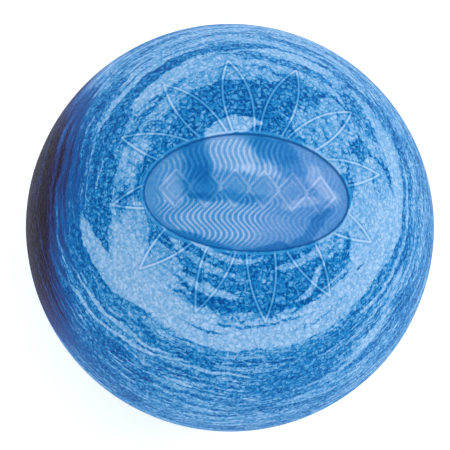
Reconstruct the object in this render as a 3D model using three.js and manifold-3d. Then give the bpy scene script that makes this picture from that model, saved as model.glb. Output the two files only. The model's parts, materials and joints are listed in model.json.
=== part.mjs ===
// Soft weighted exercise ball: a moulded vinyl shell half filled with dry sand, closed by a
// pull-out stopper in a soft valve seat. Millimetres, +Z up, origin at the middle of the flat
// contact patch that the ball rests on. The oval panel is on top, its long axis along X, and the
// valve is at the back, towards +Y.

import * as THREE from 'three';
import { mergeVertices } from 'three/addons/utils/BufferGeometryUtils.js';
import Module from 'manifold-3d';

const wasm = await Module();
wasm.setup();

// Driving dimensions
const ballDiameter = 127;
const wallThickness = 4.5;
const patchRadius = 14;          // where the soft ball flattens under its own weight
const clearance = 0.3;           // gap between pieces that touch

const panelHalfLength = 30.4;    // straight half-axes of the oval panel
const panelHalfWidth = 17.5;
const panelOffset = 3.6;         // the panel's middle lies this far from the pole, towards -Y
const panelShift = 0.5;          // and this far towards -X
const panelDepth = 0.6;
const panelRimWidth = 1.0;
const panelRimHeight = 0.3;

const starTips = 12;
const starTipAngle = 39.2;       // degrees from the pole
const starInnerAngle = 12;       // where the ribs would end if the panel didn't cut them
const starPhase = 9.8;           // azimuth of the first tip, in degrees
const ribSweep = 12.1;           // how far each rib swings round the pole on its way in, in degrees
const ribRadius = 0.8;
const ribHeight = 0.35;

const valveElevation = 8;        // degrees above the ball's equator, so the stopper can't slide out
const seatRadius = 6;
const seatRimRadius = 5.1;       // recess for the stopper's head
const seatRecess = 1.5;
const seatBore = 2.9;
const seatFlangeRadius = 9;
const seatFlangeThickness = 1.6;
const seatTailRadius = 4.4;
const seatTailLength = 4.2;      // past the flange, into the ball

const plugHeadRadius = 4.6;
const plugHeadThickness = 1.0;
const plugShankRadius = 2.55;
const plugTipRadius = 2.0;
const plugTipReach = 1.2;        // how far the stopper's tip passes the seat's tail

const sandShare = 0.47;          // share of the cavity that the sand fills

const ballFacets = 60;           // facets round each piece's axis
const cavityFacets = 40;
const seatFacets = 36;
const plugFacets = 28;
const ovalFacets = 40;
const ribSteps = 6;
const ribSides = 5;

// Worked out from them
const ballRadius = ballDiameter / 2;
const cavityRadius = ballRadius - wallThickness;
const centreHeight = Math.sqrt(ballRadius ** 2 - patchRadius ** 2);
const degrees = Math.PI / 180;
const seatTop = Math.sqrt(ballRadius ** 2 - seatRadius ** 2) - 0.2;
const flangeTop = Math.sqrt((cavityRadius - 2 * clearance) ** 2 - seatFlangeRadius ** 2);
const flangeBottom = flangeTop - seatFlangeThickness;
const tailEnd = flangeBottom - seatTailLength;

// Keeps only positions, joins shared vertices and drops faces of no area, as at a lathe's poles.
function closedMesh(geometry) {
  const bare = geometry.clone();
  bare.deleteAttribute('normal');
  bare.deleteAttribute('uv');
  const merged = mergeVertices(bare, 1e-4);
  const corners = merged.index.array;
  const kept = [];
  for (let i = 0; i < corners.length; i += 3) {
    const [a, b, c] = [corners[i], corners[i + 1], corners[i + 2]];
    if (a !== b && b !== c && c !== a) kept.push(a, b, c);
  }
  merged.setIndex(kept);
  return merged;
}

function signedVolume(geometry) {
  const [a, b, c] = [new THREE.Vector3(), new THREE.Vector3(), new THREE.Vector3()];
  const position = geometry.attributes.position;
  const corners = geometry.index.array;
  let volume = 0;
  for (let i = 0; i < corners.length; i += 3) {
    a.fromBufferAttribute(position, corners[i]);
    b.fromBufferAttribute(position, corners[i + 1]);
    c.fromBufferAttribute(position, corners[i + 2]);
    volume += a.dot(b.cross(c)) / 6;
  }
  return volume;
}

function solid(geometry) {
  const mesh = closedMesh(geometry);
  const triVerts = Uint32Array.from(mesh.index.array);
  if (signedVolume(mesh) < 0) triVerts.reverse();
  const vertProperties = Float32Array.from(mesh.attributes.position.array);
  return new wasm.Manifold(new wasm.Mesh({ numProp: 3, vertProperties, triVerts }));
}

function geometryOf(manifold) {
  const mesh = manifold.getMesh();
  const geometry = new THREE.BufferGeometry();
  geometry.setAttribute('position', new THREE.BufferAttribute(mesh.vertProperties, 3));
  geometry.setIndex(new THREE.BufferAttribute(mesh.triVerts, 1));
  return geometry;
}

// A solid of revolution about +Z from [radius, height] pairs that start and end on the axis or
// close on themselves.
function revolved(profile, facets) {
  const points = profile.map(([radius, height]) => new THREE.Vector2(radius, height));
  return new THREE.LatheGeometry(points, facets).rotateX(Math.PI / 2);
}

// Latitude, in radians, at which a ball of this radius about the ball's centre reaches a height.
function latitudeOf(height, radius) {
  return Math.asin((height - centreHeight) / radius);
}

// Profile points of a ball's arc about the ball's centre, from one latitude to another.
function ballArc(radius, from, to, steps) {
  const arc = [];
  for (let i = 0; i <= steps; i += 1) {
    const latitude = from + ((to - from) * i) / steps;
    arc.push([radius * Math.cos(latitude), centreHeight + radius * Math.sin(latitude)]);
  }
  return arc;
}

// Profile of a whole ball with a flat foot at floorHeight and a ring of points on its equator.
function footedBall(radius, floorHeight, quarterSteps) {
  const lower = ballArc(radius, latitudeOf(floorHeight, radius), 0, quarterSteps);
  const upper = ballArc(radius, 0, Math.PI / 2, quarterSteps);
  upper[quarterSteps][0] = 0;
  return [[0, floorHeight], ...lower, ...upper.slice(1)];
}

function ballSolid(radius) {
  return revolved(footedBall(radius, 0, ballFacets / 4), ballFacets);
}

function ovalPrism(halfLength, halfWidth) {
  const outline = new THREE.Shape();
  outline.absellipse(0, 0, halfLength, halfWidth, 0, 2 * Math.PI);
  const shape = { depth: ballRadius, bevelEnabled: false, curveSegments: ovalFacets };
  const prism = new THREE.ExtrudeGeometry(outline, shape);
  return prism.translate(-panelShift, -panelOffset, centreHeight + ballRadius / 2);
}

// One rib of the star lies just under the surface and breaks it by ribHeight.
class RibPath extends THREE.Curve {
  constructor(tipAzimuth, side) {
    super();
    this.tipAzimuth = tipAzimuth;
    this.side = side;
  }

  getPoint(t) {
    const fromPole = (starTipAngle - t * (starTipAngle - starInnerAngle)) * degrees;
    const swing = this.side * ribSweep * Math.sin((t * Math.PI) / 2);
    const azimuth = (this.tipAzimuth + swing) * degrees;
    const radius = ballRadius + ribHeight - ribRadius;
    return new THREE.Vector3(
      radius * Math.sin(fromPole) * Math.cos(azimuth),
      radius * Math.sin(fromPole) * Math.sin(azimuth),
      centreHeight + radius * Math.cos(fromPole),
    );
  }
}

function starRibs() {
  const section = new THREE.Shape();
  section.absarc(0, 0, ribRadius, 0, 2 * Math.PI);
  const ribs = [];
  for (let tip = 0; tip < starTips; tip += 1) {
    for (const side of [-1, 1]) {
      const path = new RibPath(starPhase + (tip * 360) / starTips, side);
      const shape = { steps: ribSteps, extrudePath: path, bevelEnabled: false, curveSegments: ribSides };
      ribs.push(solid(new THREE.ExtrudeGeometry(section, shape)));
    }
  }
  return ribs;
}

// Turns a piece made along +Z, with the ball's centre at 0, onto the valve's axis.
function onValveAxis(geometry) {
  const tilt = (90 - valveElevation) * degrees;
  return geometry.rotateX(-tilt).translate(0, 0, centreHeight);
}

function shellGeometry() {
  let body = solid(ballSolid(ballRadius));
  for (const rib of starRibs()) body = body.add(rib);

  const rimBall = solid(ballSolid(ballRadius + panelRimHeight));
  const rimOval = ovalPrism(panelHalfLength + panelRimWidth, panelHalfWidth + panelRimWidth);
  body = body.add(solid(rimOval).intersect(rimBall));

  const floorBall = solid(ballSolid(ballRadius - panelDepth));
  body = body.subtract(solid(ovalPrism(panelHalfLength, panelHalfWidth)).subtract(floorBall));

  const cavity = solid(revolved(footedBall(cavityRadius, wallThickness, cavityFacets / 4), cavityFacets));
  const throat = new THREE.CylinderGeometry(seatRadius + clearance, seatRadius + clearance, 20, seatFacets);
  throat.rotateX(Math.PI / 2).translate(0, 0, ballRadius);
  return geometryOf(body.subtract(cavity).subtract(solid(onValveAxis(throat))));
}

function seatGeometry() {
  const recessFloor = seatTop - seatRecess;
  return onValveAxis(revolved([
    [seatBore, tailEnd],
    [seatTailRadius, tailEnd],
    [seatTailRadius, flangeBottom],
    [seatFlangeRadius, flangeBottom],
    [seatFlangeRadius, flangeTop],
    [seatRadius, flangeTop],
    [seatRadius, seatTop],
    [seatRimRadius, seatTop],
    [seatRimRadius, recessFloor],
    [seatBore, recessFloor],
    [seatBore, tailEnd],
  ], seatFacets));
}

function plugGeometry() {
  const headBottom = seatTop - seatRecess + clearance;
  const headTop = headBottom + plugHeadThickness;
  const tip = tailEnd - plugTipReach;
  const edge = 0.3;
  return onValveAxis(revolved([
    [0, tip],
    [plugTipRadius - edge, tip],
    [plugTipRadius, tip + edge],
    [plugShankRadius, headBottom],
    [plugHeadRadius, headBottom],
    [plugHeadRadius, headTop - edge],
    [plugHeadRadius - edge, headTop],
    [0, headTop],
  ], plugFacets));
}

// Height of the sand's level top, measured from the cavity's lowest point, found by halving.
function sandLevel() {
  let [low, high] = [0, 2 * cavityRadius];
  while (high - low > 0.01) {
    const middle = (low + high) / 2;
    const share = (middle ** 2 * (3 * cavityRadius - middle)) / (4 * cavityRadius ** 3);
    if (share < sandShare) low = middle;
    else high = middle;
  }
  return centreHeight - cavityRadius + low;
}

function sandGeometry() {
  const radius = cavityRadius - 2 * clearance;
  const bottom = wallThickness + clearance;
  const arc = ballArc(radius, latitudeOf(bottom, radius), latitudeOf(sandLevel(), radius), cavityFacets / 4);
  return revolved([[0, bottom], ...arc, [0, sandLevel()]], cavityFacets);
}

function piece(name, geometry, colour, roughness) {
  const material = new THREE.MeshStandardMaterial({ color: colour, roughness, metalness: 0 });
  const mesh = new THREE.Mesh(closedMesh(geometry), material);
  mesh.name = name;
  return mesh;
}

const group = new THREE.Group();
group.add(
  piece('vinyl_shell', shellGeometry(), 0x3f86cf, 0.5),
  piece('valve_seat', seatGeometry(), 0x2f6fb8, 0.5),
  piece('valve_plug', plugGeometry(), 0x2a62a8, 0.45),
  piece('sand_fill', sandGeometry(), 0xc2a878, 0.9),
);

export default group;
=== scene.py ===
"""A soft weighted exercise ball: marbled vinyl shell with an oval panel and star ribs, valve and sand."""

import json
import math

import bmesh
import bpy
import numpy as np
from mathutils import Matrix, Vector


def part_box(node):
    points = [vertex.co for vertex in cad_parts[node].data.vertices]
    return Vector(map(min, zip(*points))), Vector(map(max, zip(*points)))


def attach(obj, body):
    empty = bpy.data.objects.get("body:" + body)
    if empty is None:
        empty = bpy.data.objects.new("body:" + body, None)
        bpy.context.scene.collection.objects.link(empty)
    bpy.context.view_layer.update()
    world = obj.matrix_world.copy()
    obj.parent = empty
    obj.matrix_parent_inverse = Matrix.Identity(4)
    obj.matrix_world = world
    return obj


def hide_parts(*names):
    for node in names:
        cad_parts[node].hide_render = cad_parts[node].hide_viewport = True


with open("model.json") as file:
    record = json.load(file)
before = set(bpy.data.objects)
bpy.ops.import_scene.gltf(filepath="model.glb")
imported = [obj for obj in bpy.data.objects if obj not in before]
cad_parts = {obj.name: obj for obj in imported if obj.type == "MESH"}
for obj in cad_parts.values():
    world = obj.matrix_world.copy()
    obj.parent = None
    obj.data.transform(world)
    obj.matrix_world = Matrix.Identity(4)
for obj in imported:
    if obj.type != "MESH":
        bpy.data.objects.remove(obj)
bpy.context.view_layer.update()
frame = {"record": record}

# Lengths are in metres and angles in degrees. A pair of lengths is a run: where a smooth step
# starts and where it ends. Azimuths run from +X towards +Y, and polar angles from the ball's top.
MM = 0.001
DEGREES = math.degrees(1)
TINY = 1e-9

# The ball, from the CAD shell's box and the dimensions of part.mjs
shell_low, shell_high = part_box("vinyl_shell")
BALL_RADIUS = (shell_high[0] - shell_low[0]) / 2
ARC_PER_DEGREE = math.radians(1) * BALL_RADIUS
PATCH_RADIUS = 14 * MM
WALL = 4.5 * MM
CENTRE_HEIGHT = math.sqrt(BALL_RADIUS**2 - PATCH_RADIUS**2)
CENTRE = np.array([0.0, 0.0, CENTRE_HEIGHT])
CAVITY_RADIUS = BALL_RADIUS - WALL

# The oval panel. Its middle lies PANEL_SHIFT from the pole towards -X and PANEL_OFFSET towards -Y.
PANEL_HALF_LENGTH = 30.4 * MM
PANEL_HALF_WIDTH = 17.5 * MM
PANEL_SHIFT = 0.5 * MM
PANEL_OFFSET = 3.6 * MM
PANEL_DEPTH = 0.6 * MM
PANEL_CROWN = 0.2 * MM
PANEL_WALL = (0.1 * MM, -0.5 * MM)

# The groove just inside the panel's edge and the rim just outside it
GROOVE_DEPTH = 0.25 * MM
GROOVE_WIDTH = 0.27 * MM
GROOVE_INSET = 0.15 * MM
RIM_HEIGHT = 0.2 * MM
RIM_HALF_WIDTH = 0.6 * MM
RIM_OFFSET = 0.65 * MM
RIM_LIGHTNESS = 0.5
# The rim and the ribs lose their grain a little before their crests
BARE_SHARE = 1.2

# The wavy lines moulded into the panel: x shifts by a wave whose swing grows towards -Y
LINE_PITCH = 1.64 * MM
LINE_HEIGHT = 0.15 * MM
WAVE_LENGTH = 10 * MM
WAVE_CREST = 3.5 * MM
SWING_UPPER = 0.75 * MM
SWING_LOWER = 1.8 * MM
SWING_RUN = (-9 * MM, 0.5 * MM)
# They start inside the panel's edge, stop short of its tips and fade along a bent front towards +X
LINE_MARGIN = (-0.9 * MM, -1.9 * MM)
LINE_ENDS = (29 * MM, 25 * MM)
FADE_RUN = (6 * MM, 12 * MM)
FADE_LEAN = 0.6
FADE_BEND = -4 * MM
RELIEF_FADE = 0.6
TONE_FADE = 0.65

# The row of plain lozenges across the panel's middle, each an outline with a fainter one inside
LOZENGES = 6
LOZENGE_PITCH = 8.6 * MM
LOZENGE_HALF_LENGTH = 4.7 * MM
LOZENGE_HALF_HEIGHT = 5.6 * MM
LOZENGE_SLOPE = math.hypot(1 / LOZENGE_HALF_LENGTH, 1 / LOZENGE_HALF_HEIGHT)
LOZENGE_BAND = 0.52 * MM
LOZENGE_HEIGHT = 0.38 * MM
LOZENGE_OFFSET = 3.0 * MM
LOZENGE_CLEARING = (0.9 * MM, 0.2 * MM)
INNER_INSET = 1.5 * MM
INNER_BAND = 0.4 * MM
INNER_SHARE = 0.6

# The star of thin ribs round the panel. Two ribs leave each tip and bend apart towards the panel.
STAR_TIPS = 12
TIP_STEP = 360 / STAR_TIPS
TIP_ANGLE = 39.2
INNER_ANGLE = 12.0
STAR_SPAN = TIP_ANGLE - INNER_ANGLE
STAR_PHASE = 9.8
RIB_SWEEP = 12.1
RIB_TURN = RIB_SWEEP / STAR_SPAN * math.pi / 2
RIB_HALF_WIDTH = 0.62 * MM
RIB_HEIGHT = 0.34 * MM
RIB_START = (0.3 * MM, 1.1 * MM)

# The mould's parting line round the equator
EQUATOR = 90
PARTING_HEIGHT = 0.16 * MM
PARTING_HALF_WIDTH = 0.45 * MM
PARTING_UNEVEN = 0.2
PARTING_LIGHTNESS = 0.3

# The valve's hole, on the plug's slide axis, with a rounded edge and a straight throat
VALVE_AXIS = np.array(frame["record"]["behaviour"]["joints"][0]["axis"], float)
VALVE_SIDE = np.cross([0, 0, 1.0], VALVE_AXIS)
VALVE_SIDE /= np.linalg.norm(VALVE_SIDE)
VALVE_UP = np.cross(VALVE_AXIS, VALVE_SIDE)
HOLE_RADIUS = 6.35 * MM
HOLE_TOP = math.sqrt(BALL_RADIUS**2 - HOLE_RADIUS**2)
THROAT_RADIUS = 6.12 * MM

# The collar: heights are distances from the ball's centre along the valve's axis
COLLAR_RADIUS = 6.0 * MM
COLLAR_TOP = math.sqrt(BALL_RADIUS**2 - COLLAR_RADIUS**2) - 0.2 * MM
FLANGE_RADIUS = 9.0 * MM
FLANGE_GAP = 0.6 * MM
FLANGE_TOP = math.sqrt((CAVITY_RADIUS - FLANGE_GAP) ** 2 - FLANGE_RADIUS**2)
FLANGE_BOTTOM = FLANGE_TOP - 1.6 * MM
TAIL_RADIUS = 4.4 * MM
TAIL_END = FLANGE_BOTTOM - 4.2 * MM
RECESS_RADIUS = 5.0 * MM
RECESS_FLOOR = COLLAR_TOP - 1.5 * MM
BORE_RADIUS = 2.9 * MM

# The stopper: a flat head with a ring-shaped dimple round a knob, and a stem with barbs
HEAD_RADIUS = 4.6 * MM
HEAD_BOTTOM = RECESS_FLOOR + 0.3 * MM
HEAD_TOP = HEAD_BOTTOM + 1.0 * MM
DIMPLE_FLOOR = HEAD_TOP - 0.35 * MM
KNOB_TOP = HEAD_TOP - 0.05 * MM
BARBS = 3
BARB_RADIUS = 2.6 * MM
BARB_PITCH = 2.3 * MM
TIP_END = TAIL_END - 1.2 * MM
FIRST_BARB = TIP_END + 2.6 * MM

# The bed of sand: its top dips and has dunes and small pits, and it keeps a gap to the shell
SAND_GAP = 0.4 * MM
SAND_DIP = 0.9 * MM
DUNE_HEIGHT = 0.35 * MM
PIT_HEIGHT = 0.12 * MM


def linear(red, green, blue):
    """Linear colour of an sRGB colour given in 0 to 255."""
    made = []
    for value in (red, green, blue):
        value /= 255
        made.append(value / 12.92 if value <= 0.04045 else ((value + 0.055) / 1.055) ** 2.4)
    return (*made, 1.0)


def bump_profile(distance, half_width):
    """1 on the line, falling smoothly to 0 at half_width from it."""
    inside = np.clip(1 - (distance / half_width) ** 2, 0, 1)
    return inside**1.5


def smooth_step(low, high, value):
    """A smooth step from 0 at low to 1 at high, where low may be the larger of the two."""
    t = np.clip((value - low) / (high - low), 0, 1)
    return t * t * (3 - 2 * t)


def turns(sectors):
    """Even turns round a circle, in radians."""
    return 2 * math.pi * np.arange(sectors) / sectors


# ---- relief of the shell's top


def oval_distance(x, y):
    """Roughly how far a point of the plan view lies outside the panel's edge, in metres."""
    u, v = x + PANEL_SHIFT, y + PANEL_OFFSET
    reach = np.hypot(u / PANEL_HALF_LENGTH, v / PANEL_HALF_WIDTH) + TINY
    slope = np.hypot(u / PANEL_HALF_LENGTH**2, v / PANEL_HALF_WIDTH**2) / reach + TINY
    return (reach - 1) / slope


def rib_distance(x, y):
    """Distance from the nearest rib of the star, measured on the ball."""
    level = np.hypot(x, y) / BALL_RADIUS
    angle = np.degrees(np.arcsin(level))
    azimuth = np.degrees(np.arctan2(y, x))
    from_tip = (azimuth - STAR_PHASE + TIP_STEP / 2) % TIP_STEP - TIP_STEP / 2
    along = np.clip((TIP_ANGLE - angle) / STAR_SPAN, 0, 1) * math.pi / 2
    swing = RIB_SWEEP * np.sin(along)
    lean = 1 / np.hypot(RIB_TURN * np.cos(along) * level, 1)
    past_tip = np.maximum(angle - TIP_ANGLE, 0) * ARC_PER_DEGREE
    nearest = np.full_like(x, 1.0)
    for tip in (-TIP_STEP, 0, TIP_STEP):
        for side in (-1, 1):
            across = np.abs(from_tip - tip - side * swing) * ARC_PER_DEGREE * level
            nearest = np.minimum(nearest, np.hypot(across * lean, past_tip))
    return nearest


def panel_lines(x, y, edge, cover):
    """1 on the crests of the panel's wavy lines, fainter towards its right-hand end."""
    swing = SWING_LOWER + (SWING_UPPER - SWING_LOWER) * smooth_step(*SWING_RUN, y)
    shift = swing * np.cos(2 * math.pi * (y - WAVE_CREST) / WAVE_LENGTH)
    wave = 0.5 + 0.5 * np.cos(2 * math.pi * (x - shift) / LINE_PITCH)
    ends = smooth_step(*LINE_ENDS, np.abs(x))
    front = x - FADE_LEAN * np.minimum(y - FADE_BEND, 0)
    faint = 1 - RELIEF_FADE * smooth_step(*FADE_RUN, front)
    return wave**2 * smooth_step(*LINE_MARGIN, edge) * (1 - cover) * ends * faint


def lozenge_row(x, y):
    """1 on the outlines of the row of lozenges across the panel's middle, and 1 all over them."""
    outline = np.zeros_like(x)
    cover = np.zeros_like(x)
    across = np.abs(y + LOZENGE_OFFSET) / LOZENGE_HALF_HEIGHT
    for i in range(LOZENGES):
        middle = (i - (LOZENGES - 1) / 2) * LOZENGE_PITCH - PANEL_SHIFT
        distance = (np.abs(x - middle) / LOZENGE_HALF_LENGTH + across - 1) / LOZENGE_SLOPE
        outer = bump_profile(distance, LOZENGE_BAND)
        inner = INNER_SHARE * bump_profile(distance + INNER_INSET, INNER_BAND)
        outline = np.maximum.reduce([outline, outer, inner])
        cover = np.maximum(cover, smooth_step(*LOZENGE_CLEARING, distance))
    return outline, cover


def top_relief(x, y):
    """Height of the relief over the round ball, how raised it looks and its share of the grain."""
    edge = oval_distance(x, y)
    inside = smooth_step(*PANEL_WALL, edge)
    groove = np.exp(-(((edge + GROOVE_INSET) / GROOVE_WIDTH) ** 2))
    rim = bump_profile(edge - RIM_OFFSET, RIM_HALF_WIDTH)
    ribs = bump_profile(rib_distance(x, y), RIB_HALF_WIDTH) * smooth_step(*RIB_START, edge)
    outline, cover = lozenge_row(x, y)
    outline *= inside
    crown = np.clip(-edge / PANEL_HALF_WIDTH, 0, 1) * PANEL_CROWN
    height = (crown - PANEL_DEPTH) * inside - GROOVE_DEPTH * groove
    height += RIM_HEIGHT * rim + LINE_HEIGHT * panel_lines(x, y, edge, cover)
    height += LOZENGE_HEIGHT * outline
    height = np.maximum(height, RIB_HEIGHT * ribs + height * (1 - ribs))
    raised = np.maximum(RIM_LIGHTNESS * rim, outline)
    bare = np.maximum(inside, np.minimum(1, BARE_SHARE * np.maximum(rim, ribs)))
    return height, raised, 1 - bare


# ---- the shell's mesh

# The panel is a grid, the star's field is rings that turn from its oval into a circle, and the
# rest is rings on the ball: finer at the parting line, with half the sectors further down, and
# ending at LAST_RING, just outside the contact patch
PANEL_COLUMNS = 216
PANEL_ROWS = 124
SECTORS = 2 * (PANEL_COLUMNS + PANEL_ROWS)
FIELD_RINGS = 78
FIELD_ANGLE = 44.0
FIELD_CROWDING = 1.15
RING_STEP = 0.58 * MM / ARC_PER_DEGREE
COARSE_FROM = 97.0
LAST_RING = 167.1
PARTING_CLEAR = 1.2
PARTING_REACH = 1.1
PARTING_RINGS = 11
FOOT_RINGS = 9
FOOT_OUTER = 0.94 * PATCH_RADIUS
FOOT_INNER = 1.5 * MM
FOOT_ROUNDING = 0.25 * MM

# Round the valve: the region looked at, how far inside the hole's edge a face has to lie to go,
# how far out the vertices left are evened, and the steps of the hole's lining
HOLE_SURROUND = 5 * MM
HOLE_INSET = 0.2 * MM
RELAX_REACH = 3 * MM
RELAX_PASSES = 12
HOLE_EDGE_STEPS = 4
THROAT_STEPS = 5
CAVITY_STEPS = 48


class MeshBuilder:
    """Collects vertices and faces in blocks, with each vertex's raised and grained shares."""

    def __init__(self):
        self.points = []
        self.shares = []
        self.faces = []
        self.count = 0

    def add(self, points, shares=(0, 1)):
        """Adds a block of vertices and returns their numbers."""
        points = np.reshape(points, (-1, 3))
        self.points.append(points)
        self.shares.append(np.broadcast_to(np.reshape(shares, (-1, 2)), (len(points), 2)))
        self.count += len(points)
        return np.arange(self.count - len(points), self.count)

    def join(self, upper, lower):
        """Faces between a ring and one vertex, or a ring with as many or half as many vertices."""
        if len(upper) == 1:
            upper, lower = lower, upper
        if len(lower) == 1:
            self.faces += zip(upper, np.roll(upper, -1), np.repeat(lower, len(upper)))
        elif len(lower) == len(upper):
            self.faces += zip(upper, lower, np.roll(lower, -1), np.roll(upper, -1))
        else:
            for j, c0 in enumerate(lower):
                c1 = lower[(j + 1) % len(lower)]
                f0, f1, f2 = upper[2 * j], upper[2 * j + 1], upper[(2 * j + 2) % len(upper)]
                self.faces += [(f0, c0, f1), (f1, c0, c1), (f1, c1, f2)]

    def next_ring(self, ring, *block):
        """Adds a ring or one vertex, joins the last ring to it and returns its numbers."""
        new = self.add(*block)
        self.join(ring, new)
        return new

    def arrays(self):
        return np.vstack(self.points), np.vstack(self.shares)


def on_top(x, y):
    """Points of the shell's top over plan points x, y, with their relief and shares."""
    height, raised, grained = top_relief(x, y)
    z = np.sqrt(BALL_RADIUS**2 - x**2 - y**2)
    normal = np.stack([x, y, z], axis=-1) / BALL_RADIUS
    points = CENTRE + normal * (BALL_RADIUS + height)[..., None]
    return points, np.stack([raised, grained], axis=-1)


def panel_plan():
    """Plan points of a grid squeezed into the panel's oval, and its edge in turning order from +X."""
    u, v = np.meshgrid(np.linspace(-1, 1, PANEL_COLUMNS + 1), np.linspace(-1, 1, PANEL_ROWS + 1))
    x = PANEL_HALF_LENGTH * u * np.sqrt(1 - v**2 / 2) - PANEL_SHIFT
    y = PANEL_HALF_WIDTH * v * np.sqrt(1 - u**2 / 2) - PANEL_OFFSET
    number = np.arange(x.size).reshape(x.shape)
    middle = PANEL_ROWS // 2
    loop = np.concatenate([
        number[middle:-1, -1],
        number[-1, :0:-1],
        number[:0:-1, 0],
        number[0, :-1],
        number[:middle, -1],
    ])
    return x, y, number, loop


def ring_on_ball(angle, sectors):
    """Unit directions round the ball at one polar angle."""
    turn = turns(sectors)
    polar = math.radians(angle)
    level, height = math.sin(polar), np.full(sectors, math.cos(polar))
    return np.column_stack([level * np.cos(turn), level * np.sin(turn), height])


def settle(points):
    """Flattens the ball smoothly onto the floor where it would pass through it."""
    z = points[:, 2]
    points[:, 2] = 0.5 * (z + np.sqrt(z**2 + FOOT_ROUNDING**2))
    return points


def side_angles():
    """Polar angles of the rings between the star's field and the foot."""
    angles = set(np.arange(FIELD_ANGLE + RING_STEP, LAST_RING, RING_STEP).round(4))
    angles = {angle for angle in angles if abs(angle - EQUATOR) > PARTING_CLEAR}
    parting = np.linspace(EQUATOR - PARTING_REACH, EQUATOR + PARTING_REACH, PARTING_RINGS)
    return sorted(angles | set(parting.round(4)))


def side_rings(builder, ring):
    """The ball below the star's field: rings down to the foot."""
    for angle in side_angles():
        sectors = SECTORS // 2 if angle > COARSE_FROM else SECTORS
        across = np.full(sectors, abs(angle - EQUATOR) * ARC_PER_DEGREE)
        ridge = bump_profile(across, PARTING_HALF_WIDTH)
        turn = turns(sectors)
        uneven = 1 - PARTING_UNEVEN + PARTING_UNEVEN * np.sin(5 * turn + 1.0) * np.sin(11 * turn)
        radius = BALL_RADIUS + PARTING_HEIGHT * ridge * uneven
        points = settle(CENTRE + ring_on_ball(angle, sectors) * radius[:, None])
        shares = np.column_stack([ridge * PARTING_LIGHTNESS, 1 - ridge])
        ring = builder.next_ring(ring, points, shares)
    return ring


def foot(builder, ring):
    """The flat contact patch."""
    sectors = len(ring) // 2
    turn = turns(sectors)
    circle = np.column_stack([np.cos(turn), np.sin(turn), np.zeros(sectors)])
    for radius in np.linspace(FOOT_OUTER, FOOT_INNER, FOOT_RINGS):
        ring = builder.next_ring(ring, radius * circle)
    builder.next_ring(ring, [0, 0, 0])


def valve_ring(radius, along, turn):
    """Points round the valve's axis, at a distance along it from the ball's centre."""
    ring = np.outer(np.cos(turn), VALVE_SIDE) + np.outer(np.sin(turn), VALVE_UP)
    return CENTRE + VALVE_AXIS * along + radius * ring


def edge_loop(faces):
    """The vertices round a patch of faces, in order."""
    edges = dict.fromkeys(edge for face in faces for edge in zip(face, face[1:] + face[:1]))
    following = {a: b for a, b in edges if (b, a) not in edges}
    loop = [next(iter(following))]
    while following[loop[-1]] != loop[0]:
        loop.append(following[loop[-1]])
    return loop


def cut_valve_hole(points, faces):
    """Takes out the faces over the valve and moves the edge they leave onto the hole's circle.

    Returns the kept faces, the vertices round the hole and their turns about the valve's axis.
    """
    local = points - CENTRE
    reach = np.hypot(local @ VALVE_SIDE, local @ VALVE_UP)
    near = (local @ VALVE_AXIS > 0) & (reach < HOLE_RADIUS + HOLE_SURROUND)
    kept, cut = [], []
    for face in faces:
        if near[face[0]] and np.mean(reach[list(face)]) < HOLE_RADIUS - HOLE_INSET:
            cut.append(face)
        else:
            kept.append(face)
    loop = edge_loop(cut)
    turn = np.arctan2(local[loop] @ VALVE_UP, local[loop] @ VALVE_SIDE)
    direction = 1 if np.unwrap(turn)[-1] > turn[0] else -1
    even = turn[0] + direction * turns(len(loop))
    points[loop] = valve_ring(HOLE_RADIUS, HOLE_TOP, even)
    movable = near & (reach < HOLE_RADIUS + RELAX_REACH)
    movable[loop] = False
    relax(points, kept, near, movable)
    return kept, loop, even


def relax(points, faces, near, movable):
    """Evens out the movable vertices next to the valve hole, keeping them on the ball."""
    neighbours = {}
    for face in faces:
        if near[face[0]]:
            for a, b in zip(face, face[1:] + face[:1]):
                neighbours.setdefault(a, set()).add(b)
                neighbours.setdefault(b, set()).add(a)
    free = [(v, list(around)) for v, around in neighbours.items() if movable[v] and len(around) >= 4]
    for _ in range(RELAX_PASSES):
        for v, around in free:
            outward = points[around].mean(axis=0) - CENTRE
            radius = np.linalg.norm(points[v] - CENTRE)
            points[v] = CENTRE + outward / np.linalg.norm(outward) * radius


def lining():
    """Radius and place along the valve's axis of each ring inside the hole's edge."""
    lip = HOLE_RADIUS - THROAT_RADIUS
    stations = []
    for bend in np.linspace(0, math.pi / 2, HOLE_EDGE_STEPS + 1)[1:]:
        stations.append((HOLE_RADIUS - lip * math.sin(bend), HOLE_TOP - lip * (1 - math.cos(bend))))
    throat_end = math.sqrt(CAVITY_RADIUS**2 - THROAT_RADIUS**2)
    for along in np.linspace(HOLE_TOP - lip, throat_end, THROAT_STEPS + 1)[1:]:
        stations.append((THROAT_RADIUS, along))
    first = math.asin(THROAT_RADIUS / CAVITY_RADIUS)
    for polar in np.linspace(first, math.pi, CAVITY_STEPS + 1)[1:-1]:
        stations.append((CAVITY_RADIUS * math.sin(polar), CAVITY_RADIUS * math.cos(polar)))
    return stations


def line_inside(builder, loop, turn):
    """Turns the hole's edge in, runs it through the wall and spreads it into the cavity's wall."""
    ring = np.array(loop)
    for radius, along in lining():
        points = valve_ring(radius, along, turn)
        points[:, 2] = np.maximum(points[:, 2], WALL)
        ring = builder.next_ring(ring, points, (0, 0))
    last = CENTRE - VALVE_AXIS * CAVITY_RADIUS
    last[2] = max(last[2], WALL)
    builder.next_ring(ring, last)


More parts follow.
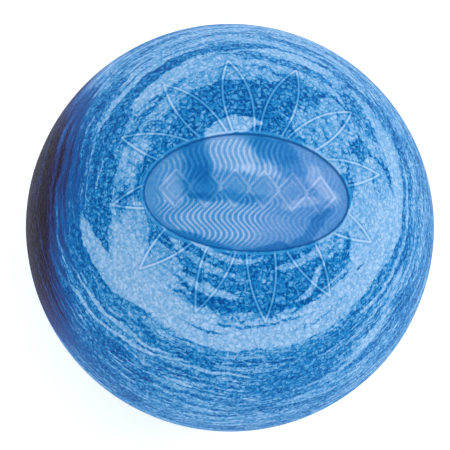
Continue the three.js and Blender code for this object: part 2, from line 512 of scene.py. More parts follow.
def star_field(builder, x, y, ring):
    """Rings from the panel's edge, whose plan points are x, y, out to a circle on the ball."""
    outer = BALL_RADIUS * math.sin(math.radians(FIELD_ANGLE))
    turn = turns(SECTORS)
    for i in range(1, FIELD_RINGS + 1):
        share = (i / FIELD_RINGS) ** FIELD_CROWDING
        ring_x = x * (1 - share) + outer * np.cos(turn) * share
        ring_y = y * (1 - share) + outer * np.sin(turn) * share
        ring = builder.next_ring(ring, *on_top(ring_x, ring_y))
    return ring


def shell_mesh():
    """The whole shell, outside and inside, as one closed skin."""
    builder = MeshBuilder()
    x, y, number, loop = panel_plan()
    builder.add(*on_top(x, y))
    corners = (number[:-1, :-1], number[:-1, 1:], number[1:, 1:], number[1:, :-1])
    builder.faces += zip(*(corner.ravel() for corner in corners))
    ring = star_field(builder, x.ravel()[loop], y.ravel()[loop], loop)
    ring = side_rings(builder, ring)
    foot(builder, ring)
    points, shares = builder.arrays()
    faces = [tuple(int(v) for v in face) for face in builder.faces]
    builder.faces, loop, turn = cut_valve_hole(points, faces)
    builder.points, builder.shares = [points], [shares]
    line_inside(builder, loop, turn)
    return builder


def mesh_object(name, points, faces, **shares):
    """An object with the shares on its vertices, its normals facing out and no loose vertices."""
    mesh = bpy.data.meshes.new(name)
    mesh.from_pydata([tuple(p) for p in points], [], [tuple(int(v) for v in f) for f in faces])
    for share, values in shares.items():
        layer = mesh.attributes.new(share, "FLOAT", "POINT")
        layer.data.foreach_set("value", values.astype(np.float32))
    work = bmesh.new()
    work.from_mesh(mesh)
    bmesh.ops.recalc_face_normals(work, faces=work.faces)
    loose = [v for v in work.verts if not v.link_faces]
    bmesh.ops.delete(work, geom=loose, context="VERTS")
    work.to_mesh(mesh)
    work.free()
    mesh.shade_smooth()
    piece = bpy.data.objects.new(name, mesh)
    bpy.context.scene.collection.objects.link(piece)
    return piece


def make_shell():
    """The shell, with the shares that its material reads."""
    builder = shell_mesh()
    points, shares = builder.arrays()
    raised, grained = shares.T
    by_panel = points[:, 2] > CENTRE_HEIGHT + 0.8 * CAVITY_RADIUS
    cover = np.where(by_panel, lozenge_row(*points[:, :2].T)[1], 0)
    shares = {"raised": raised, "grained": grained, "cover": cover}
    return mesh_object("marbled_shell", points, builder.faces, **shares)


# ---- turned pieces of the valve

CORNER_STEPS = 5
CORNER_SHARE = 0.45
VALVE_SECTORS = 96


def rounded(profile, radius):
    """The profile with each corner off the axis replaced by a small curve of about that radius."""
    made = []
    for i, corner in enumerate(profile):
        if corner[0] == 0:
            made.append(corner)
            continue
        here = np.array(corner)
        back = np.array(profile[i - 1]) - here
        ahead = np.array(profile[(i + 1) % len(profile)]) - here
        room = CORNER_SHARE * min(np.linalg.norm(back), np.linalg.norm(ahead))
        reach = min(radius, room)
        start = here + back / np.linalg.norm(back) * reach
        end = here + ahead / np.linalg.norm(ahead) * reach
        for t in np.linspace(0, 1, CORNER_STEPS + 1):
            made.append(tuple((1 - t) ** 2 * start + 2 * t * (1 - t) * here + t * t * end))
    return made


def turned(name, profile):
    """A piece turned about the valve's axis from (radius, distance from the ball's centre) pairs.

    A profile that starts on the axis also ends there, and any other runs back to its start.
    """
    turn = turns(VALVE_SECTORS)
    builder = MeshBuilder()
    rings = []
    for radius, along in profile:
        rings.append(builder.add(valve_ring(radius, along, turn if radius else [0])))
    if profile[0][0]:
        rings.append(rings[0])
    for one, two in zip(rings, rings[1:]):
        builder.join(one, two)
    return mesh_object(name, builder.arrays()[0], builder.faces)


def make_seat():
    profile = [
        (BORE_RADIUS, TAIL_END),
        (TAIL_RADIUS, TAIL_END),
        (TAIL_RADIUS, FLANGE_BOTTOM),
        (FLANGE_RADIUS, FLANGE_BOTTOM),
        (FLANGE_RADIUS, FLANGE_TOP),
        (COLLAR_RADIUS, FLANGE_TOP),
        (COLLAR_RADIUS, COLLAR_TOP),
        (COLLAR_RADIUS - 0.25 * MM, COLLAR_TOP + 0.1 * MM),
        (COLLAR_RADIUS - 0.65 * MM, COLLAR_TOP + 0.1 * MM),
        (RECESS_RADIUS + 0.1 * MM, COLLAR_TOP),
        (RECESS_RADIUS, RECESS_FLOOR),
        (BORE_RADIUS + 0.6 * MM, RECESS_FLOOR),
        (BORE_RADIUS, RECESS_FLOOR - 0.5 * MM),
    ]
    return turned("valve_collar", rounded(profile, 0.25 * MM))


def make_stopper():
    profile = [(0, TIP_END), (1.6 * MM, TIP_END), (2.0 * MM, TIP_END + 0.7 * MM)]
    for i in range(BARBS):
        crest = FIRST_BARB + i * BARB_PITCH
        profile.append((2.15 * MM, crest - 0.7 * MM))
        profile.append((BARB_RADIUS, crest))
        profile.append((2.2 * MM, crest + 0.35 * MM))
    profile += [
        (2.4 * MM, HEAD_BOTTOM - 0.6 * MM),
        (2.8 * MM, HEAD_BOTTOM),
        (HEAD_RADIUS, HEAD_BOTTOM),
        (HEAD_RADIUS, HEAD_TOP),
        (3.7 * MM, HEAD_TOP),
        (3.2 * MM, DIMPLE_FLOOR),
        (1.3 * MM, DIMPLE_FLOOR),
        (0.9 * MM, KNOB_TOP),
        (0, KNOB_TOP),
    ]
    return turned("stopper", rounded(profile, 0.22 * MM))


# ---- the sand

SAND_SECTORS = 144
SAND_TOP_RINGS = 44
SAND_TOP_MIDDLE = 0.02
SAND_SIDE_RINGS = 50
SAND_LAST_RING = 179.0


def sand_height(x, y, share):
    """Height of the sand's top over its level; share is 0 in its middle and 1 at the shell."""
    dune = np.sin(x / (9 * MM) + 1.7 * np.sin(y / (17 * MM)))
    dune += np.sin(y / (6.5 * MM) + x / (21 * MM))
    pits = np.sin(x / (1.9 * MM)) * np.sin(y / (2.3 * MM) + x / (5 * MM))
    return (DUNE_HEIGHT * dune + PIT_HEIGHT * pits - SAND_DIP) * (1 - share**6)


def make_sand():
    """The bed of sand: it lies against the shell's inside, with a gently uneven top."""
    low, high = (Vector(c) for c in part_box("sand_fill"))
    radius = CAVITY_RADIUS - SAND_GAP
    rim = math.sqrt(radius**2 - (high.z - CENTRE_HEIGHT) ** 2)
    turn = turns(SAND_SECTORS)
    builder = MeshBuilder()
    ring = builder.add([0, 0, high.z - SAND_DIP])
    for share in np.linspace(SAND_TOP_MIDDLE, 1, SAND_TOP_RINGS):
        x, y = rim * share * np.cos(turn), rim * share * np.sin(turn)
        points = np.column_stack([x, y, high.z + sand_height(x, y, share)])
        ring = builder.next_ring(ring, points)
    first = math.degrees(math.acos((high.z - CENTRE_HEIGHT) / radius))
    for angle in np.linspace(first, SAND_LAST_RING, SAND_SIDE_RINGS)[1:]:
        points = CENTRE + radius * ring_on_ball(angle, SAND_SECTORS)
        points[:, 2] = np.maximum(points[:, 2], low.z)
        ring = builder.next_ring(ring, points)
    builder.next_ring(ring, [0, 0, low.z])
    return mesh_object("sand_bed", builder.arrays()[0], builder.faces)


# ---- materials


class Value:
    """A node's output, for which sums and products are written as they are for numbers."""

    def __init__(self, graph, socket):
        self.graph = graph
        self.socket = socket

    def __add__(self, other):
        return self.graph.math("ADD", self, other)

    def __mul__(self, other):
        return self.graph.math("MULTIPLY", self, other)

    def __sub__(self, other):
        return self.graph.math("SUBTRACT", self, other)

    def __rsub__(self, other):
        return self.graph.math("SUBTRACT", other, self)

    def __truediv__(self, other):
        return self.graph.math("DIVIDE", self, other)

    def __abs__(self):
        return self.graph.math("ABSOLUTE", self)

    __radd__ = __add__
    __rmul__ = __mul__


class Graph:
    """Builds a material's nodes. Inputs may be numbers, tuples or Values."""

    def __init__(self, name):
        self.material = bpy.data.materials.new(name)
        self.material.use_nodes = True
        self.tree = self.material.node_tree
        self.tree.nodes.clear()
        self.shader = self.tree.nodes.new("ShaderNodeBsdfPrincipled")
        output = self.tree.nodes.new("ShaderNodeOutputMaterial")
        self.tree.links.new(self.shader.outputs[0], output.inputs[0])

    def feed(self, socket, value):
        """Links a socket to a Value, or gives it a number or tuple; None leaves it alone."""
        if isinstance(value, Value):
            self.tree.links.new(value.socket, socket)
        elif value is not None:
            socket.default_value = value

    def node(self, kind, inputs=(), **settings):
        """The outputs of a new node by name and number. Its inputs are given by either."""
        made = self.tree.nodes.new(kind)
        for key, value in settings.items():
            setattr(made, key, value)
        for key, value in dict(inputs).items():
            self.feed(made.inputs[key], value)
        outputs = {output.name: Value(self, output) for output in made.outputs}
        outputs.update((i, Value(self, output)) for i, output in enumerate(made.outputs))
        return outputs

    def math(self, operation, *inputs, clamp=False):
        return self.node("ShaderNodeMath", enumerate(inputs), operation=operation, use_clamp=clamp)[0]

    def hypot(self, a, b):
        return self.math("SQRT", a * a + b * b)

    def vector(self, operation, *inputs):
        """A vector, or for a length or dot product a number."""
        out = 1 if operation in ("LENGTH", "DOT_PRODUCT") else 0
        return self.node("ShaderNodeVectorMath", enumerate(inputs), operation=operation)[out]

    def split(self, vector):
        """The three parts of a vector."""
        parts = self.node("ShaderNodeSeparateXYZ", {"Vector": vector})
        return parts["X"], parts["Y"], parts["Z"]

    def step(self, value, low, high, bottom=0.0, top=1.0):
        """A smooth step from bottom at low to top at high."""
        inputs = {"Value": value, "From Min": low, "From Max": high, "To Min": bottom, "To Max": top}
        return self.node("ShaderNodeMapRange", inputs, interpolation_type="SMOOTHSTEP")[0]

    def fall(self, value, low, high, top=1.0):
        """A smooth step down from top at low to 0 at high."""
        return self.step(value, low, high, top, 0.0)

    def noise(self, *settings, out="Fac"):
        """Noise by place and scale, and by detail, roughness and distortion where they are given."""
        names = ("Vector", "Scale", "Detail", "Roughness", "Distortion")
        return self.node("ShaderNodeTexNoise", zip(names, settings))[out]

    def stray(self, place, scale, detail, width):
        """A vector of noise about zero, in a cube of the given width."""
        even = self.vector("SUBTRACT", self.noise(place, scale, detail, out="Color"), (0.5, 0.5, 0.5))
        return self.vector("MULTIPLY", even, (width, width, width))

    def ramp(self, value, stops):
        """Colours, or shades of grey, blended from stop to stop."""
        made = self.tree.nodes.new("ShaderNodeValToRGB")
        self.feed(made.inputs[0], value)
        elements = made.color_ramp.elements
        while len(elements) > 1:
            elements.remove(elements[-1])
        elements[0].position, elements[0].color = stops[0][0], tone(stops[0][1])
        for position, colour in stops[1:]:
            elements.new(position).color = tone(colour)
        return Value(self, made.outputs[0])

    def mix(self, share, one, two):
        """A colour between two, by the share of the second."""
        return self.node("ShaderNodeMix", {0: share, 6: one, 7: two}, data_type="RGBA")[2]

    def attribute(self, name):
        return self.node("ShaderNodeAttribute", attribute_name=name)["Fac"]

    def place(self):
        """The point on the piece, in its own frame."""
        return self.node("ShaderNodeTexCoord")["Object"]

    def finish(self, colour, roughness, height=None, distance=0.0, **constants):
        """Feeds the shader, with a bump of the given height, and returns the material."""
        self.feed(self.shader.inputs["Base Color"], colour)
        self.feed(self.shader.inputs["Roughness"], roughness)
        if height is not None:
            bump = self.node("ShaderNodeBump", {"Height": height, "Distance": distance, "Strength": 1.0})
            self.feed(self.shader.inputs["Normal"], bump[0])
        for key, value in constants.items():
            self.shader.inputs[key.replace("_", " ")].default_value = value
        return self.material


def tone(value):
    """The linear colour of an sRGB colour given in 0 to 255, or of a linear shade of grey."""
    return linear(*value) if isinstance(value, tuple) else (value, value, value, 1.0)


# Lightness of the marbling by degrees from the pole, before the patches and the noise
MARBLE_BANDS = [
    (0, 0.36), (33, 0.36), (36, 0.42), (39, 0.62), (46, 0.66), (49, 0.44), (53, 0.34), (60, 0.38),
    (68, 0.4), (75, 0.4), (83, 0.44), (92, 0.4), (100, 0.36), (110, 0.58), (117, 0.4),
    (127, 0.34), (136, 0.6), (144, 0.42), (155, 0.34), (166, 0.52), (180, 0.42),
]

# Lens-shaped patches of lighter or darker vinyl, and one of painted shade: azimuth and half span, polar
# angle, half width, strength and, where it isn't 0, how much the polar angle grows per degree of azimuth
MARBLE_PATCHES = [
    # inside the light ring
    (110, 28, 16.3, 2.3, 0.5),
    (80, 26, 19, 2, -0.16),
    (248, 28, 22.8, 0.9, 0.34),
    (36, 26, 25, 7, 0.18),
    (306, 17, 25.6, 1, 0.34, 0.05),
    (90, 44, 26, 5, -0.08),
    (335, 20, 26, 4.5, 0.2),
    (244, 28, 27, 0.9, 0.32),
    (12, 8, 31, 2, 0.3),
    (150, 20, 31, 4, 0.16),
    (226, 12, 32, 2.5, 0.3, 0.05),
    (251, 13, 32.2, 1.3, 0.42),
    (40, 14, 33, 4, 0.2),
    (172, 16, 33.5, 4, 0.22),
    (303, 13, 33.5, 1.2, 0.4, -0.34),
    (108, 34, 34, 3, 0.22),
    (205, 14, 34, 3.4, 0.3, 0.1),
    (262, 30, 34.4, 1.8, -0.2, 0.03),
    (249, 14, 36.4, 1.5, -0.34),
    (306, 20, 36.8, 0.9, -0.4, 0.02),
    (352, 24, 37, 8, 0.42),
    # in the light ring and on its edges
    (86, 14, 39, 1.4, 0.25),
    (318, 24, 39.4, 4.2, 0.32, -0.03),
    (228, 30, 39.5, 5.8, 0.38, -0.02),
    (336, 13, 40, 0.5, -0.55, 0.03),
    (8, 9, 40.5, 3.5, -0.42),
    (278, 34, 40.6, 0.6, -0.7, 0.015),
    (120, 26, 41, 3.2, 0.24),
    (160, 14, 41.5, 2.4, -0.3),
    (84, 30, 42, 2.6, -0.2),
    (188, 20, 42, 3.4, -0.34, 0.1),
    (248, 16, 43, 0.6, -0.7, -0.02),
    (305, 18, 43.3, 0.7, -0.6, -0.02),
    (276, 66, 43.8, 4.4, 0.52),
    (38, 14, 45, 7, -0.2),
    (309, 7, 45, 1, -0.4, -0.2),
    (146, 34, 45.2, 2.4, -0.36),
    (73, 15, 45.8, 2.3, 0.42, -0.04),
    (108, 22, 46.6, 1.4, -0.32),
    (184, 18, 46.6, 1.8, -0.3),
    (14, 36, 47, 2.4, 0.42),
    (214, 24, 47.6, 3.2, 0.42, -0.12),
    (130, 26, 48.7, 1, 0.34, -0.01),
    (27, 12, 50, 1.6, 0.25),
    (86, 26, 50.8, 1.7, 0.3, 0.02),
    (350, 26, 51.6, 0.8, 0.35),
    (124, 24, 52, 1.5, 0.26),
    (172, 34, 53.5, 3.2, -0.26, 0.02),
    # beyond it
    (325, 14, 55.6, 1.2, 0.3, -0.1),
    (262, 16, 57, 0.6, 0.45),
    (8, 34, 57.5, 0.9, 0.3),
    (37, 18, 57.6, 2, -0.2),
    (222, 28, 58, 0.6, 0.6, -0.12),
    (129, 10, 59, 2.5, -0.25),
    (86, 62, 60, 8, 0.2),
    (322, 20, 60.2, 1.6, 0.42, -0.32),
    (226, 30, 61, 0.6, 0.5, -0.2),
    (178, 34, 64, 9, -0.24),
    (140, 14, 69, 4, 0.22),
    # painted shade: darkens the lower end of the side towards -X
    (224, 22, 69, 5, -0.3),
    (298, 16, 72.5, 2.5, 0.25),
    (222, 24, 84, 9, -0.35),
]

# The strength of each kind of mark inside the light ring and beyond it
LIGHT_RING_EDGE = (46, 54)
STREAK_STRENGTH = (0.45, 1.7)
BLOTCH_STRENGTH = (0.6, 0.3)
THREAD_STRENGTH = (0.12, 0.46)
# The pigments part rather than blend, so part of the lightness settles at one of two levels
SETTLING = (0.44, 0.6)
SETTLED_LEVELS = (0.3, 0.76)
SETTLED_SHARE = (0.62, 0.35)

# Colours from the darkest pigment to the lightest, on the ball and, a little more violet, on the panel
VINYL_TONES = [
    (0.0, (0, 72, 144)),
    (0.2, (0, 104, 176)),
    (0.4, (24, 128, 193)),
    (0.6, (78, 152, 209)),
    (0.8, (124, 175, 222)),
    (1.0, (160, 197, 236)),
]
PANEL_TONES = [
    (0.0, (10, 98, 170)),
    (0.3, (36, 122, 188)),
    (0.5, (66, 137, 197)),
    (0.75, (110, 159, 209)),
    (1.0, (158, 190, 229)),
]
VIOLET_TONES = [
    (0.0, (16, 76, 152)),
    (0.5, (88, 126, 192)),
    (1.0, (168, 182, 228)),
]
SAND_TONES = [
    (0.0, (120, 92, 58)),
    (0.35, (186, 158, 112)),
    (0.7, (214, 192, 150)),
    (1.0, (236, 226, 204)),
]
# painted shade: the dark blue laid into the groove round the panel's edge
GROOVE_SHADE_COLOUR = linear(8, 84, 150)

# The dark violet patches: azimuth, half span, polar angle and half height, and their tones from edge to
# middle.
# The first is a broad one towards -X, painted shade that turns that side violet-navy and near black in
# its middle; the others are thin wisps of dark violet pigment.
SHADE_AND_SWIRLS = [
    (176, 60, 84, 41),
    (70, 50, 112, 5),
    (345, 46, 131, 5),
    (128, 40, 126, 4.5),
]
SHADE_AND_SWIRL_TONES = [
    (0.0, (0, 96, 170)),
    (0.3, (16, 78, 150)),
    (0.55, (28, 48, 108)),
    (0.8, (24, 18, 62)),
    (1.0, (10, 5, 30)),
]

# The panel's own smoother marbling: x, y, half length, half width in millimetres, tilt, strength
PANEL_PATCHES = [
    (-16.5, 7, 4.4, 8, 12, -0.34),
    (-15, -2, 4.6, 5, 0, -0.28),
    (-6, 7.4, 8.8, 5.4, -16, 0.26),
    (3, 3.2, 6.5, 2.2, -12, 0.2),
    (6.5, 9.6, 8, 3.6, -28, -0.3),
    (12, 4, 5, 2.6, 10, -0.14),
    (-7, -5.6, 12, 1.6, 0, -0.24),
    (21, 0, 7.5, 3, -44, 0.24),
    (15, -6, 6.5, 2, 12, 0.2),
    (-22, -4, 3.4, 5, 0, 0.14),
    (-6, -13, 17, 5.6, 0, 0.14),
    (18.5, -13.5, 9.5, 1.8, 42, -0.3),
    (-15, -18.6, 13, 1.5, -20, -0.34),
    (6, -20.4, 9, 1.2, 7, -0.34),
]

# The panel's fine hatching, its violet side and the strength of its wavy lines at both ends of
# SWING_RUN; a line's crest and trough are parts of a cosine
HATCH_PITCH = 1.1 * MM
VIOLET_RUN = (-4 * MM, 18 * MM)
VIOLET_SHARE = 0.32
LINE_STRENGTH = (0.31, 0.23)
CREST_TONE = (0.3, 0.95)
TROUGH_TONE = (-0.4, -1.0)
TROUGH_DARKNESS = 0.6

# Where the shell's crisp tones lie: distances outside the panel's edge, and from a rib's middle. The
# groove's dark band and the ribs' dark flanks are painted shade.
PANEL_TONE_EDGE = (-0.15 * MM, 0.05 * MM)
GROOVE_SHADE_INSET = 0.1 * MM
GROOVE_SHADE_RUN = (0.1 * MM, 0.5 * MM)
RIB_TONE_START = (0.5 * MM, 1.1 * MM)
RIB_TONE = (0.12 * MM, 0.5 * MM)
RIB_FLANK_SHADE = (0.55 * MM, 1.1 * MM)

# The floor is lit a little from within, as a shooting table is
FLOOR_GLOW = 0.36


def vinyl_grain(g, place):
    """Pebble grain: 1 on the pebbles, 0 in the valleys between them."""
    moved = g.vector("ADD", place, g.stray(place, 600.0, 2.0, 2.2 * MM))
    inputs = {"Vector": moved, "Scale": 640.0}
    valleys = g.node("ShaderNodeTexVoronoi", inputs, feature="DISTANCE_TO_EDGE")["Distance"]
    worms = g.noise(moved, 780.0, 1.0)
    return 0.5 * g.step(valleys, 0.03, 0.2) + 0.5 * g.step(worms, 0.4, 0.6)


def on_outside(g, place):
    """1 on the ball's outside, 0 within the wall and in the cavity."""
    reach = g.vector("LENGTH", g.vector("SUBTRACT", place, tuple(CENTRE)))
    return g.step(reach, BALL_RADIUS - 2 * MM, BALL_RADIUS - 1.5 * MM)


def panel_edge(g, x, y):
    """How far a point lies outside the panel's edge, as oval_distance gives it."""
    a = (x + PANEL_SHIFT) / PANEL_HALF_LENGTH
    b = (y + PANEL_OFFSET) / PANEL_HALF_WIDTH
    reach = g.hypot(a, b)
    return (reach - 1) * reach / g.hypot(a / PANEL_HALF_LENGTH, b / PANEL_HALF_WIDTH)


def rib_reach(g, x, y):
    """Distance from the nearest rib of the star, as rib_distance gives it."""
    level = g.math("MINIMUM", g.hypot(x, y) / BALL_RADIUS, 1.0)
    angle = g.math("ARCSINE", level) * DEGREES
    azimuth = g.math("ARCTAN2", y, x) * DEGREES
    from_tip = abs(g.math("WRAP", azimuth - STAR_PHASE, TIP_STEP / 2, -TIP_STEP / 2))
    along = g.math("MULTIPLY", TIP_ANGLE - angle, 1 / STAR_SPAN, clamp=True) * (math.pi / 2)
    swing = g.math("SINE", along) * RIB_SWEEP
    nearest = g.math("MINIMUM", abs(from_tip - swing), abs(TIP_STEP - from_tip - swing))
    across = nearest * ARC_PER_DEGREE * level
    lean = g.hypot(g.math("COSINE", along) * RIB_TURN * level, 1.0)
    past_tip = g.math("MAXIMUM", angle - TIP_ANGLE, 0.0) * ARC_PER_DEGREE
    return g.hypot(across / lean, past_tip)


def wave(g, across, pitch):
    """A cosine wave of the given pitch."""
    return g.math("COSINE", across * (2 * math.pi / pitch))


def wave_lines(g, x, y, edge):
    """1 on the crests of the panel's wavy lines and below 0 between them, as panel_lines has them."""
    swing = g.step(y, *SWING_RUN, SWING_LOWER, SWING_UPPER)
    comb = wave(g, x - swing * wave(g, y - WAVE_CREST, WAVE_LENGTH), LINE_PITCH)
    lines = g.step(comb, *CREST_TONE) + g.step(comb, *TROUGH_TONE, 0.0, -TROUGH_DARKNESS)
    front = x - g.math("MINIMUM", y - FADE_BEND, 0.0) * FADE_LEAN
    faint = g.step(front, *FADE_RUN, 1.0, 1 - TONE_FADE)
    return lines * g.step(abs(x), *LINE_ENDS) * faint * g.step(edge, *LINE_MARGIN)


def panel_marbling(g, place):
    """Lightness of the panel's marbling."""
    x, y, _ = g.split(g.vector("ADD", place, g.stray(place, 110.0, 4.0, 8 * MM)))
    level = 0.52 + 0.45 * (g.noise(place, 70.0, 4.0, 0.6) - 0.5)
    for middle_x, middle_y, half_length, half_width, tilt, strength in PANEL_PATCHES:
        cosine, sine = math.cos(math.radians(tilt)), math.sin(math.radians(tilt))
        u, v = x - middle_x * MM, y - middle_y * MM
        along = (u * cosine + v * sine) / (half_length * MM)
        across = (v * cosine - u * sine) / (half_width * MM)
        level += g.fall(g.hypot(along, across), 0.7, 1.25, strength)
    return level


def azimuth_from(g, flat, azimuth):
    """Degrees round the pole from an azimuth to a flat direction."""
    cosine, sine = math.cos(math.radians(azimuth)), math.sin(math.radians(azimuth))
    ahead = g.vector("DOT_PRODUCT", flat, (cosine, sine, 0))
    beside = g.vector("DOT_PRODUCT", flat, (-sine, cosine, 0))
    return g.math("ARCTAN2", beside, ahead) * DEGREES


def marble_patch(g, flat, angle, patch):
    """The lightness that one lens-shaped patch adds."""
    azimuth, half_span, polar, half_width, strength, climb = (*patch, 0)[:6]
    along = azimuth_from(g, flat, azimuth)
    across = angle - polar - along * climb
    soft = min(0.4, 0.34 / half_width)
    return g.fall(g.hypot(along / half_span, across / half_width), 1 - soft, 1 + soft, strength)


def drawn_out(g, x, y, angle, around, down):
    """A place to read noise at that is drawn out round the pole: its scales round and down the ball."""
    inputs = {"X": x * around, "Y": y * around, "Z": angle * down}
    return g.node("ShaderNodeCombineXYZ", inputs)[0]


def marbling(g, place):
    """Lightness of the ball's marbling, and what the painted shade towards -X and the swirls need:
    degrees from the pole, the flat direction from it and the streaks' noise."""
    direction = g.vector("NORMALIZE", g.vector("SUBTRACT", place, tuple(CENTRE)))
    stirring = g.vector("ADD", g.stray(direction, 3.2, 2.0, 0.09), g.stray(direction, 16.0, 3.0, 0.04))
    stirred = g.vector("NORMALIZE", g.vector("ADD", direction, stirring))
    x, y, z = g.split(stirred)
    angle = g.math("ARCCOSINE", z) * DEGREES
    flat = g.vector("NORMALIZE", g.vector("MULTIPLY", stirred, (1, 1, 0)))
    level = g.ramp(angle / 180, [(a / 180, v) for a, v in MARBLE_BANDS])
    for patch in MARBLE_PATCHES:
        level += marble_patch(g, flat, angle, patch)

    flow = drawn_out(g, x, y, angle, 2.2, 0.55)
    streaks = g.noise(flow, 1.0, 4.0, 0.62, 0.3) - 0.5
    ridge = abs(g.noise(g.vector("MULTIPLY", flow, (1.6, 1.6, 1.5)), 1.0, 2.0, 0.5, 0.4) - 0.5)
    threads = g.fall(ridge, 0.01, 0.05) * g.step(g.noise(direction, 4.0, 2.0), 0.38, 0.58)
    blotches = g.noise(drawn_out(g, x, y, angle, 13.0, 0.42), 1.0, 3.0, 0.6) - 0.5
    level += streaks * g.step(angle, *LIGHT_RING_EDGE, *STREAK_STRENGTH)
    level += blotches * g.step(angle, *LIGHT_RING_EDGE, *BLOTCH_STRENGTH)
    level += threads * g.step(angle, *LIGHT_RING_EDGE, *THREAD_STRENGTH)
    settled = g.step(level, *SETTLING, *SETTLED_LEVELS)
    level += (settled - level) * g.step(angle, *LIGHT_RING_EDGE, *SETTLED_SHARE)
    return level, angle, flat, streaks


def painted_shade_and_swirls(g, angle, flat, streaks):
    """How deep a point lies in the broad patch of painted shade towards -X and in the wisps of dark
    violet pigment: 0 outside, 1 in the middle.
    """
    deepest = 0.0
    for azimuth, half_span, polar, half_height in SHADE_AND_SWIRLS:
        along = azimuth_from(g, flat, azimuth) / half_span
        across = (angle - polar) / half_height
        reach = g.hypot(along, across * (1 + 0.9 * along * along))
        deepest = g.math("MAXIMUM", g.fall(reach + streaks, 0.25, 0.95), deepest)
    return deepest


def ball_colour(g, place, grain, rib, rib_flank_shade, raised):
    """Colour of the shell away from the panel: marbling, grain with some painted highlight and shade,
    lighter ribs with painted shade on their flanks, wisps of violet pigment and painted shade towards -X.
    """
    level, angle, flat, streaks = marbling(g, place)
    level = g.math("MINIMUM", g.math("MAXIMUM", level, 0.14), 0.86)
    # partly painted light: pebble tops lighter as painted highlights and valleys darker as painted shade,
    # partly the two pigments mixing at the grain's scale
    grain_tint_and_painted_light = g.step(angle, 40, 52, 0.64, 0.56) * g.step(level, 0.45, 0.85, 1.0, 0.5)
    level += (grain - 0.5) * grain_tint_and_painted_light * g.attribute("grained")
    # the ribs are lighter, and their flanks are darker as painted shade
    level += 0.29 * rib - 0.16 * rib_flank_shade + 0.3 * raised
    # painted shade: the broad patch towards -X darkens that side to violet-navy and near black, standing
    # in for the side away from the light; the thin wisps are pigment
    shade_and_swirl = painted_shade_and_swirls(g, angle, flat, streaks)
    sunk = shade_and_swirl - 0.9 * g.math("MAXIMUM", level - 0.5, 0.0)
    in_shade_and_swirl = g.step(shade_and_swirl, 0.0, 0.25)
    return g.mix(in_shade_and_swirl, g.ramp(level, VINYL_TONES), g.ramp(sunk, SHADE_AND_SWIRL_TONES))


def panel_colour(g, place, x, y, edge, hatch, raised):
    """Colour of the panel: its own marbling, wavy lines and hatching, more violet to one side."""
    bare = 1.0 - g.attribute("cover")
    lines = wave_lines(g, x, y, edge) * bare * g.step(y, *SWING_RUN, *LINE_STRENGTH)
    fine = g.noise(place, 1100.0, 2.0, 0.6) - 0.5
    level = panel_marbling(g, place) + lines + 0.06 * hatch + 0.34 * fine + 0.27 * raised
    violet = g.step(x - 0.4 * y, *VIOLET_RUN, 0.0, VIOLET_SHARE)
    return g.mix(violet, g.ramp(level, PANEL_TONES), g.ramp(level, VIOLET_TONES))


def marbled_vinyl():
    """The shell's material. The crisp marks are worked out here and not read from the mesh."""
    g = Graph("marbled_vinyl")
    place = g.place()
    x, y, z = g.split(place)
    top = on_outside(g, place) * g.step(z, CENTRE_HEIGHT, CENTRE_HEIGHT + 5 * MM)
    edge = panel_edge(g, x, y)
    panel = g.fall(edge, *PANEL_TONE_EDGE) * top
    # painted shade: a dark band along the groove just inside the panel's edge
    groove = g.fall(abs(edge + GROOVE_SHADE_INSET), *GROOVE_SHADE_RUN) * top
    reach = rib_reach(g, x, y)
    beyond = g.step(edge, *RIB_TONE_START) * top
    rib = g.fall(reach, *RIB_TONE) * beyond
    # painted shade: a darker band on both sides of each rib, where the rib's shadow falls
    rib_flank_shade = g.fall(reach, *RIB_FLANK_SHADE) * beyond - rib
    hatch = wave(g, x + y, HATCH_PITCH) * wave(g, x - y, HATCH_PITCH)
    grain = vinyl_grain(g, place)
    raised = g.attribute("raised")

    on_ball = ball_colour(g, place, grain, rib, rib_flank_shade, raised)
    on_panel = panel_colour(g, place, x, y, edge, hatch, raised)
    colour = g.mix(panel, on_ball, on_panel)
    # painted shade darkens the groove
    colour = g.mix(0.85 * groove, colour, GROOVE_SHADE_COLOUR)
    height = grain * g.attribute("grained") + 0.8 * rib + 0.12 * hatch * panel
    rough = 0.55 - 0.1 * grain
    return g.finish(colour, rough, height, 0.24 * MM, IOR=1.5, Specular_IOR_Level=0.05)


def soft_vinyl(name, dark, light):
    """Plain soft vinyl of the valve, with faint flow marks and a fine matt texture."""
    g = Graph(name)
    place = g.place()
    colour = g.ramp(g.noise(place, 140.0, 3.0, 0.6, 1.2), [(0.35, dark), (0.65, light)])
    fine = g.noise(place, 2600.0, 2.0)
    rough = 0.36 + 0.2 * fine
    return g.finish(colour, rough, fine, 0.03 * MM, IOR=1.5, Specular_IOR_Level=0.3)


def dry_sand():
    """Grains of sand, each of one of a few tones."""
    g = Graph("dry_sand")
    grains = g.node("ShaderNodeTexVoronoi", {"Vector": g.place(), "Scale": 1900.0}, feature="F1")
    speck = g.split(grains["Color"])[0]
    bumps = g.fall(grains["Distance"], 0.1, 0.7)
    return g.finish(g.ramp(speck, SAND_TONES), 0.95 - 0.3 * speck, bumps, 0.25 * MM, IOR=1.54)


def pale_floor():
    """The white top of a softly lit shooting table."""
    g = Graph("pale_floor")
    white = g.ramp(g.noise(g.place(), 6.0, 3.0), [(0.3, 0.88), (0.7, 0.92)])
    g.shader.inputs["Emission Color"].default_value = (1, 1, 1, 1)
    g.shader.inputs["Emission Strength"].default_value = FLOOR_GLOW
    return g.finish(white, 0.9)


def wear(piece, material):
    piece.data.materials.clear()
    piece.data.materials.append(material)


# ---- pieces

shell = make_shell()
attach(shell, "ball")
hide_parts("vinyl_shell")
wear(shell, marbled_vinyl())

seat = make_seat()
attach(seat, "ball")
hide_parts("valve_seat")
wear(seat, soft_vinyl("valve_vinyl", (10, 92, 160), (34, 122, 190)))

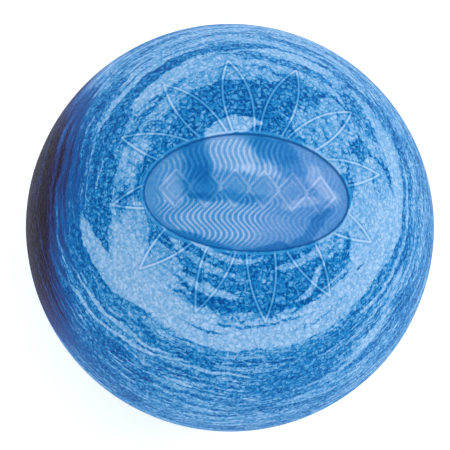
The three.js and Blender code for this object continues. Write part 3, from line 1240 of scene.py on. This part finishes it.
stopper = make_stopper()
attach(stopper, "plug")
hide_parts("valve_plug")
wear(stopper, soft_vinyl("plug_plastic", (4, 60, 124), (14, 82, 150)))

sand = make_sand()
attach(sand, "ball")
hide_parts("sand_fill")
wear(sand, dry_sand())


# ---- floor, light and camera

FLOOR_REACH = 6.0
FLOOR_DROP = 0.02 * MM
LIGHT_DISTANCE = 0.9
WORLD_STRENGTH = 0.97

# The camera looks down on the panel. Its line of sight runs from this polar angle and azimuth to
# the ball's middle, and the picture is turned by VIEW_ROLL from the panel's long axis lying level
VIEW_FROM_POLE = 14.36
VIEW_AZIMUTH = 249.1
VIEW_ROLL = -3.08
VIEW_DISTANCE = 16 * BALL_RADIUS
SENSOR_WIDTH = 36
# The ball's width in the picture, and how far its middle lies to the right of and above the
# picture's middle, as shares of the picture's width
BALL_SHARE = 0.90667
BALL_RIGHT = 0.01133
BALL_ABOVE = -0.006


def make_floor():
    low, high = -FLOOR_REACH, FLOOR_REACH
    points = [(x, y, -FLOOR_DROP) for x, y in ((low, low), (high, low), (high, high), (low, high))]
    floor = mesh_object("floor", points, [(0, 1, 2, 3)])
    floor.data.materials.append(pale_floor())


def outward(polar, azimuth):
    """Unit direction from the ball's middle."""
    polar, azimuth = math.radians(polar), math.radians(azimuth)
    flat = math.sin(polar)
    return Vector((flat * math.cos(azimuth), flat * math.sin(azimuth), math.cos(polar)))


def soft_box(name, azimuth, elevation, size, power):
    """A square softbox that looks at the ball's middle."""
    light = bpy.data.lights.new(name, "AREA")
    light.shape = "SQUARE"
    light.size = size
    light.energy = power
    lamp = bpy.data.objects.new(name, light)
    away = outward(90 - elevation, azimuth)
    lamp.location = Vector(CENTRE) + away * LIGHT_DISTANCE
    lamp.rotation_mode = "QUATERNION"
    lamp.rotation_quaternion = away.to_track_quat("Z", "Y")
    lamp.visible_camera = False
    bpy.context.scene.collection.objects.link(lamp)


def make_world():
    world = bpy.data.worlds.new("studio")
    world.use_nodes = True
    back = world.node_tree.nodes["Background"]
    back.inputs["Color"].default_value = (1.0, 1.0, 1.0, 1.0)
    back.inputs["Strength"].default_value = WORLD_STRENGTH
    bpy.context.scene.world = world


def make_camera():
    away = outward(VIEW_FROM_POLE, VIEW_AZIMUTH)
    right = Vector((1, 0, 0)) - away * away.x
    right.normalize()
    up = away.cross(right)
    roll = Matrix.Rotation(math.radians(-VIEW_ROLL), 3, away)
    axes = Matrix((roll @ right, roll @ up, away)).transposed()
    ball_half_width = BALL_RADIUS / math.sqrt(VIEW_DISTANCE**2 - BALL_RADIUS**2)
    data = bpy.data.cameras.new("camera")
    data.sensor_width = SENSOR_WIDTH
    data.lens = SENSOR_WIDTH / 2 * BALL_SHARE / ball_half_width
    data.shift_x = -BALL_RIGHT
    data.shift_y = -BALL_ABOVE
    data.clip_start = 0.01
    data.clip_end = 100
    camera = bpy.data.objects.new("camera", data)
    place = Matrix.Translation(Vector(CENTRE) + away * VIEW_DISTANCE)
    camera.matrix_world = place @ axes.to_4x4()
    bpy.context.scene.collection.objects.link(camera)
    bpy.context.scene.camera = camera


make_floor()
make_world()
soft_box("key", azimuth=0, elevation=45, size=0.25, power=1.7)
soft_box("back_fill", azimuth=110, elevation=30, size=0.6, power=0.7)
make_camera()
bpy.context.scene.view_settings.view_transform = "Standard"
